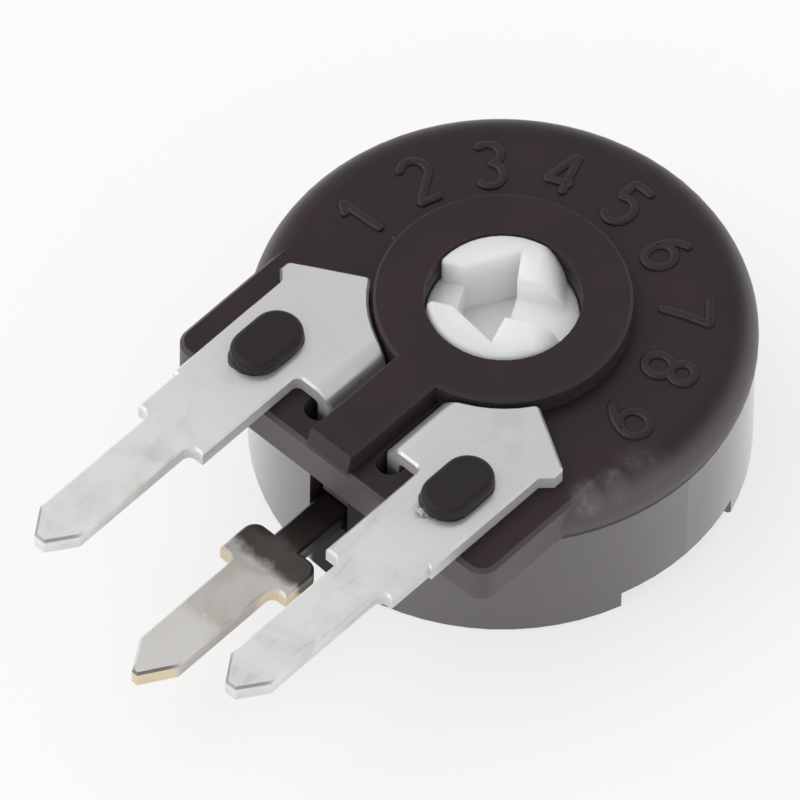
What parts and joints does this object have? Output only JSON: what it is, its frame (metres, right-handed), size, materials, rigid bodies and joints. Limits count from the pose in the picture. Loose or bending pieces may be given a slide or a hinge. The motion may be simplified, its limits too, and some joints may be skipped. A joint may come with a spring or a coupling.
{
  "type": "trimmer potentiometer",
  "caption": "Round single-turn carbon trimmer potentiometer with flat in-line pins and a driver socket in a white rotor, for setting a resistance on a circuit board.",
  "frame": {"origin": "On the rotor's axis, in the plane on which the cup's standing ring lies.", "axes": "+Z along the rotor's axis, out of the face with the driver socket; the pins point along -Y; +X across the row of pins."},
  "size_m": [0.01, 0.0154, 0.0045],
  "materials": {
    "cup_plastic": "moulded black, semi-gloss",
    "cover_plastic": "moulded black, matte",
    "tinned_sheet": "tin plated, satin",
    "wiper_sheet": "tin plated, sheared edges bare",
    "laminate": "phenolic laminate",
    "carbon": "printed carbon",
    "silver_print": "printed silver",
    "rotor_plastic": "moulded white, satin",
    "spring_bronze": "spring bronze strip"
  },
  "bodies": {
    "housing": {"housing_cup": "cup_plastic", "terminal_cover": "cover_plastic", "end_terminal_left": "tinned_sheet", "end_terminal_right": "tinned_sheet", "wiper_terminal": "wiper_sheet", "track_substrate": "laminate", "carbon_track": "carbon", "silver_pad_left": "silver_print", "silver_pad_right": "silver_print"},
    "adjuster": {"rotor": "rotor_plastic", "wiper_spring": "spring_bronze"}
  },
  "joints": [
    {"name": "rotor_turn", "type": "hinge", "parent": "housing", "child": "adjuster", "pos_m": [0, 0, 0.0032], "axis": [0, 0, 1], "range_deg": [-117.5, 117.5]}
  ]
}
